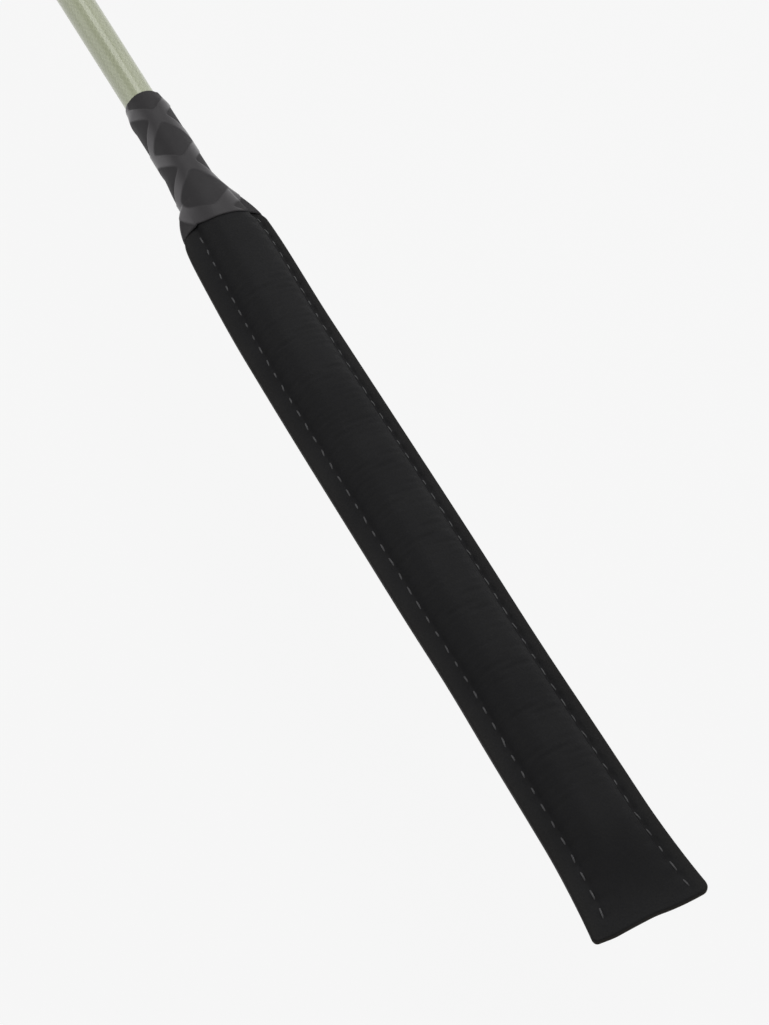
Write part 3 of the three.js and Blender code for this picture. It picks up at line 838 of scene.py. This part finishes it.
CLOTH_START, CLOTH_END = FLAP_START + 4 * MM, FLAP_END - 8 * MM
CLOTH_ROWS, CLOTH_COLUMNS = 209, 17
CLOTH_FRAMES = 20
CLOTH_SCALE = 100  # the cloth is simulated larger than life, where the solver is steadier
CLOTH_BROAD = 41  # rows over which the sheet's even swelling is averaged
CLOTH_REACH = 0.25 * MM  # the most that a crease may rise or fall


def settle_cover():
    """The creases that the cover takes under the push of its filling, by a cloth simulation.

    The cloth is a sheet over the pad, held along its seams and at both ends, and cut a little too large.
    Its even swelling is taken out, because the formed shape already has it. The result is in metres over
    a grid of rows along the flap and columns from one seam to the other."""
    x = np.repeat(np.linspace(CLOTH_START, CLOTH_END, CLOTH_ROWS)[:, None], CLOTH_COLUMNS, 1)
    share = np.linspace(-1, 1, CLOTH_COLUMNS)
    side = np.sign(share)
    y = crown_half_width(x, side) * share
    shape = np.stack([x - x.mean(), y, cover_height(x, y, side)], -1) * CLOTH_SCALE
    sheet = make_piece("cover_cloth", shape.reshape(-1, 3), grid_faces(CLOTH_ROWS, CLOTH_COLUMNS))
    ids = np.arange(CLOTH_ROWS * CLOTH_COLUMNS).reshape(CLOTH_ROWS, CLOTH_COLUMNS)
    rim = np.concatenate([ids[0], ids[-1], ids[1:-1, 0], ids[1:-1, -1]])
    sheet.vertex_groups.new(name="seams").add(rim.tolist(), 1.0, "REPLACE")
    settings = sheet.modifiers.new("cloth", "CLOTH").settings
    settings.vertex_group_mass = "seams"
    settings.quality = 8
    settings.mass = 0.3
    settings.tension_stiffness = 15
    settings.compression_stiffness = 15
    settings.shear_stiffness = 5
    settings.bending_stiffness = 0.5
    settings.shrink_min = -0.02
    settings.use_pressure = True
    settings.uniform_pressure_force = 4
    settings.effector_weights.gravity = 0
    scene = bpy.context.scene
    for number in range(1, CLOTH_FRAMES + 1):
        scene.frame_set(number)
    settled = sheet.evaluated_get(bpy.context.evaluated_depsgraph_get()).data
    places = np.empty(shape.size, np.float32)
    settled.vertices.foreach_get("co", places)
    scene.frame_set(1)
    rise = (places.reshape(shape.shape) - shape)[..., 2] / CLOTH_SCALE
    bpy.data.objects.remove(sheet)
    reach = CLOTH_BROAD // 2
    longer = np.pad(rise, ((reach, reach), (0, 0)), "edge")
    even = sum(longer[i : i + CLOTH_ROWS] for i in range(CLOTH_BROAD)) / CLOTH_BROAD
    near_end = np.minimum(x - CLOTH_START, CLOTH_END - x)
    creases = (rise - even) * smoothstep(near_end, 4 * MM, 24 * MM)
    return np.clip(creases, -CLOTH_REACH, CLOTH_REACH)


def over_grid(grid, x, share):
    """Values of a grid from settle_cover at x and at a share, from -1 to 1, of the way to each seam."""
    row = np.clip((x - CLOTH_START) / (CLOTH_END - CLOTH_START), 0, 1) * (CLOTH_ROWS - 1)
    column = (np.clip(share, -1, 1) + 1) / 2 * (CLOTH_COLUMNS - 1)
    i = np.minimum(row.astype(int), CLOTH_ROWS - 2)
    j = np.minimum(column.astype(int), CLOTH_COLUMNS - 2)
    near = mix(grid[i, j], grid[i, j + 1], column - j)
    far = mix(grid[i + 1, j], grid[i + 1, j + 1], column - j)
    return mix(near, far, row - i)


def cover_surfaces():
    """The front cover's outside and inside as sheets of points, and how worn or cut it is, from 0 to 1."""
    rows, crown_steps, welt_steps = 560, 26, 12
    inner = np.sin(np.pi / 2 * np.linspace(-1, 1, 2 * crown_steps + 1))
    ease = np.sin(np.pi / 2 * np.linspace(0, 1, welt_steps + 1)[1:])
    over_crown = np.concatenate([-np.ones(welt_steps), inner, np.ones(welt_steps)])
    over_welt = np.concatenate([-ease[::-1], np.zeros(len(inner)), ease])
    columns = len(over_crown)
    x = np.repeat(np.linspace(TAIL_START, FLAP_END, rows)[:, None], columns, 1)
    side = np.sign(np.arange(columns) - columns // 2)
    crown = crown_half_width(x, side)
    half = flap_half_width(x, side)
    y = crown * over_crown + (half - crown) * over_welt
    bottom = cover_inside(x, y, side)
    top = cover_height(x, y, side) + over_grid(settle_cover(), x, y / crown)
    wave, sewn = stitch_wave(x, side), sewn_share(x, side)
    seam = crown + SEAM_OFFSET
    valley = mix(0.32 * MM, 0.12 * MM, wave) * bump(np.abs(y), seam, SEAM_WIDTH)  # deepest at the holes
    pucker = mix(0.16 * MM, 0, wave) * bump(np.abs(y), seam - 1.6 * MM, 1.6 * MM)
    top = top - (valley + pucker) * sewn - end_thinning(x)
    from_side = half - np.abs(y)
    top = top - quarter_round(from_side, CUT_ROUND, CUT_DROP) * formed(x)
    share = (x - TAIL_START) / (FLAP_END - TAIL_START)
    x = x - end_cut(y * END_HALF_WIDTH / half) * smoothstep(share, 0.85, 1)
    y = y + flap_middle(x)
    from_end = x[-1:] - x
    top = top - quarter_round(from_end, CUT_ROUND, CUT_DROP)
    end_face = 1 - smoothstep(from_end, 0, 0.5 * CUT_ROUND)
    side_face = 0.35 * (1 - smoothstep(from_side, 0, 0.35 * CUT_ROUND))
    worn = 0.16 * (1 - smoothstep(from_side, 0, 3.2 * MM))  # the welts are paler towards their edges
    edge = np.maximum(np.maximum(end_face, side_face), worn)
    return np.stack([x, y, top], -1), np.stack([x, y, bottom], -1), edge


def stitch_row(name, side, back):
    """One row of stitches: short threads that dive into the cover at both ends."""
    around, rings = 10, 9
    radius, mean_length, arch_height = 0.2 * MM, 2.6 * MM, 0.4 * MM
    sunk = 0.51 * MM if side > 0 else 0.42 * MM  # at the ends of a stitch, deeper in the tighter seam
    angle = np.linspace(0, 2 * np.pi, around, endpoint=False)
    vertices, faces = [], []
    rng = np.random.default_rng(7 + int(side > 0) + 2 * int(back))
    for middle in np.linspace(*stitch_run(side), STITCHES):
        length = mean_length + rng.uniform(-0.5, 0.5) * MM
        lean = rng.uniform(-0.1, 0.1) + 0.06 * side
        lift = rng.uniform(-0.04, 0.04) * MM
        foot = WELT_TOP - sunk + lift - end_thinning(middle)
        faces += capped_faces(rings, around, first=len(vertices))
        for t in np.linspace(0, 1, rings):
            along = (t - 0.5) * length
            x = middle + along
            y = side * (crown_half_width(x, side) + SEAM_OFFSET) + lean * along + flap_middle(x)
            arch = np.sin(np.pi * t) ** 0.6
            z = foot + arch_height * arch
            thin = radius * mix(0.55, 1, arch)
            vertices += [(x, y + thin * np.cos(a), z + thin * np.sin(a)) for a in angle]
    points = np.array(vertices)
    if back:
        points = points * MIRROR
    return make_piece(name, points, faces)


def foam_surfaces():
    """The front foam pad as two sheets of points: it fills the cover and leaves a channel for the core."""
    start, end = start_of("foam_front"), end_of("foam_front")
    rows, columns = 160, 41
    margin = 1.6 * MM  # from the foot of the pad
    clearance, least = 0.12 * MM, 0.1 * MM  # under the cover, and the pad's thickness at its edges
    x = np.repeat(np.linspace(start, end, rows)[:, None], columns, 1)
    share = np.sin(np.pi / 2 * np.linspace(-1, 1, columns))
    side = np.sign(share)
    y = (crown_half_width(x, side) - margin) * share
    channel = np.sqrt(np.maximum(0, CORE_CHANNEL**2 - (y + flap_middle(x)) ** 2))
    bottom = SEAM_GAP + channel * (1 - smoothstep(x, end_of("core_tip_cap") + 1 * MM, end))
    top = np.maximum(cover_inside(x, y, side) - clearance, bottom + least)
    y = y + flap_middle(x)
    return np.stack([x, y, top], -1), np.stack([x, y, bottom], -1)


def make_foam():
    """The two foam pads, one behind each cover."""
    top, bottom = foam_surfaces()
    for face in ("front", "back"):
        flip = MIRROR if face == "back" else 1
        piece = slab(f"foam_pad_{face}", top * flip, bottom * flip, sharp=50)
        finish_piece(piece, "pad_foam", "flap", f"foam_{face}")


def make_flap():
    """The flap's two covers and their four rows of stitches."""
    top, bottom, edge = cover_surfaces()
    mark = np.concatenate([edge.ravel(), edge.ravel()])
    for face in ("front", "back"):
        back = face == "back"
        flip = MIRROR if back else 1
        piece = slab(f"flap_{face}", top * flip, bottom * flip, {"cut_edge": mark}, sharp=50)
        finish_piece(piece, "cover_leather", "flap", f"cover_{face}")
        for side_name, side in (("left", 1), ("right", -1)):
            row = stitch_row(f"stitches_{face}_{side_name}", side, back)
            finish_piece(row, "stitch_thread", "flap", f"seam_thread_{face}_{side_name}")


# ---------------------------------------------------------------- CAD nodes that stay

def dress_nodes():
    """Gives every CAD node its material, by its slot in the record; those without a piece stay in view."""
    for subpart in frame["record"]["subparts"]:
        node = frame["nodes"][subpart["node"]]
        node.data.materials.clear()
        node.data.materials.append(LOOKS[subpart["material_slot"]])


# ---------------------------------------------------------------- studio

def make_camera():
    """Looks down on the flap along the crop, with the flap's end nearest."""
    tilt, roll = math.radians(31.5), math.radians(15)
    distance, lens = 0.522, 77  # in metres, and in millimetres over a sensor 36 mm wide
    ahead, aside = 100.8 * MM, 3.26 * MM  # from the flap's start to the place in the middle of the picture
    back = Vector((math.sin(tilt), -math.sin(roll) * math.cos(tilt), math.cos(roll) * math.cos(tilt)))
    along = (Vector((1, 0, 0)) - back * back.x).normalized()
    across = back.cross(along)
    heading = math.atan2(-0.8467, 0.5321)  # of the crop in the picture: down and to the right
    right = along * math.cos(heading) - across * math.sin(heading)
    up = along * math.sin(heading) + across * math.cos(heading)
    aim = Vector((FLAP_START + ahead, 0, 0)) - across * aside
    data = bpy.data.cameras.new("camera")
    data.lens = lens
    data.sensor_width = 36
    data.clip_start = 0.01
    data.clip_end = 50
    camera = bpy.data.objects.new("camera", data)
    turn = Matrix((right, up, back)).transposed().to_4x4()
    camera.matrix_world = Matrix.Translation(aim + back * distance) @ turn
    bpy.context.scene.collection.objects.link(camera)
    bpy.context.scene.camera = camera


def make_light(name, place, target, size, radiance):
    """A rectangular soft box that looks as bright as radiance; its first side runs along the crop."""
    data = bpy.data.lights.new(name, "AREA")
    data.shape = "RECTANGLE"
    data.size, data.size_y = size
    data.energy = radiance * math.pi * size[0] * size[1]
    light = bpy.data.objects.new(name, data)
    light.location = place
    light.rotation_mode = "QUATERNION"
    light.rotation_quaternion = (Vector(target) - Vector(place)).to_track_quat("-Z", "Y")
    bpy.context.scene.collection.objects.link(light)


def make_studio():
    """A pale floor that glows evenly, low enough for the flap to swing over it, and three soft boxes."""
    deepest = (FLAP_END - PIVOT) * math.sin(math.radians(JOINT["range_deg"][1])) + FLAP_CROWN
    bpy.ops.mesh.primitive_plane_add(size=60, location=(0.4, 0, -deepest - 5 * MM))
    floor = bpy.context.object
    floor.name = "floor"
    look = Look("floor", (0.02, 0.02, 0.02), 0.9)
    look.set(**{"Emission Color": (1, 1, 1, 1), "Emission Strength": 0.905, "Specular IOR Level": 0.0})
    floor.data.materials.append(look.material)
    world = bpy.data.worlds.new("studio")
    bpy.context.scene.world = world
    world.use_nodes = True
    sky = world.node_tree.nodes["Background"]
    sky.inputs["Color"].default_value = (1, 1, 1, 1)
    sky.inputs["Strength"].default_value = 0.25
    make_light("overhead", (-0.1, 0.3, 1.0), (-0.1, 0.3, 0), (2.0, 0.6), 2.9)
    make_light("left", (-0.2, -1.15, 0.65), (-0.2, 0, 0), (2.2, 1.1), 1.2)
    make_light("right", (0.0, 1.15, 0.65), (0, 0, 0), (2.2, 1.0), 1.15)
    bpy.context.scene.view_settings.view_transform = "Standard"


dress_nodes()
make_camera()
make_shaft()
make_grip()
make_collars()
make_cap()
make_spigot()
make_sleeve()
make_flap()
make_foam()
make_studio()
